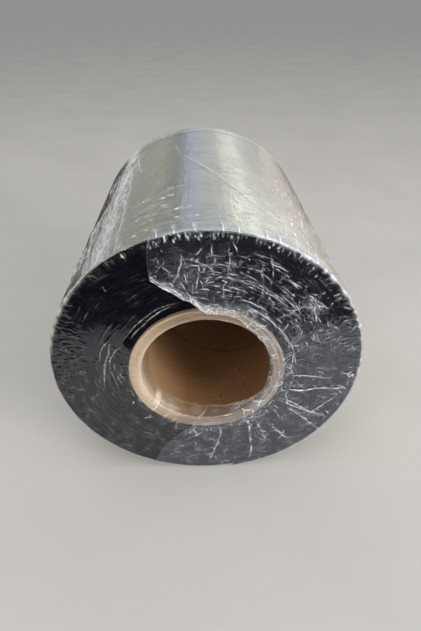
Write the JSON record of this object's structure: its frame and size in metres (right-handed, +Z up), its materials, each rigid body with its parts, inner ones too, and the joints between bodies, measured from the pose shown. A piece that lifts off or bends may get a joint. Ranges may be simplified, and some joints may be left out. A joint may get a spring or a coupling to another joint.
{
  "type": "roll of bitumen flashing tape",
  "caption": "Roll of foil-faced self-adhesive bitumen flashing tape wound on a cardboard core and wrapped in clear stretch film.",
  "frame": {"origin": "centre of the cardboard core's bore, on its axis at the middle of the roll's width", "axes": "+Y along the bore's axis towards the far end, +Z up with the roll lying on its side, the front end towards -Y"},
  "size_m": [0.1787, 0.2044, 0.1777],
  "materials": {
    "tape": "black bitumen compound on the ends, thin aluminium foil on the outside",
    "core": "raw brown kraft board",
    "film": "clear, glossy, wrinkled stretch film"
  },
  "bodies": {
    "root": {"tape_roll": "tape", "cardboard_core": "core", "stretch_film": "film"}
  },
  "joints": []
}
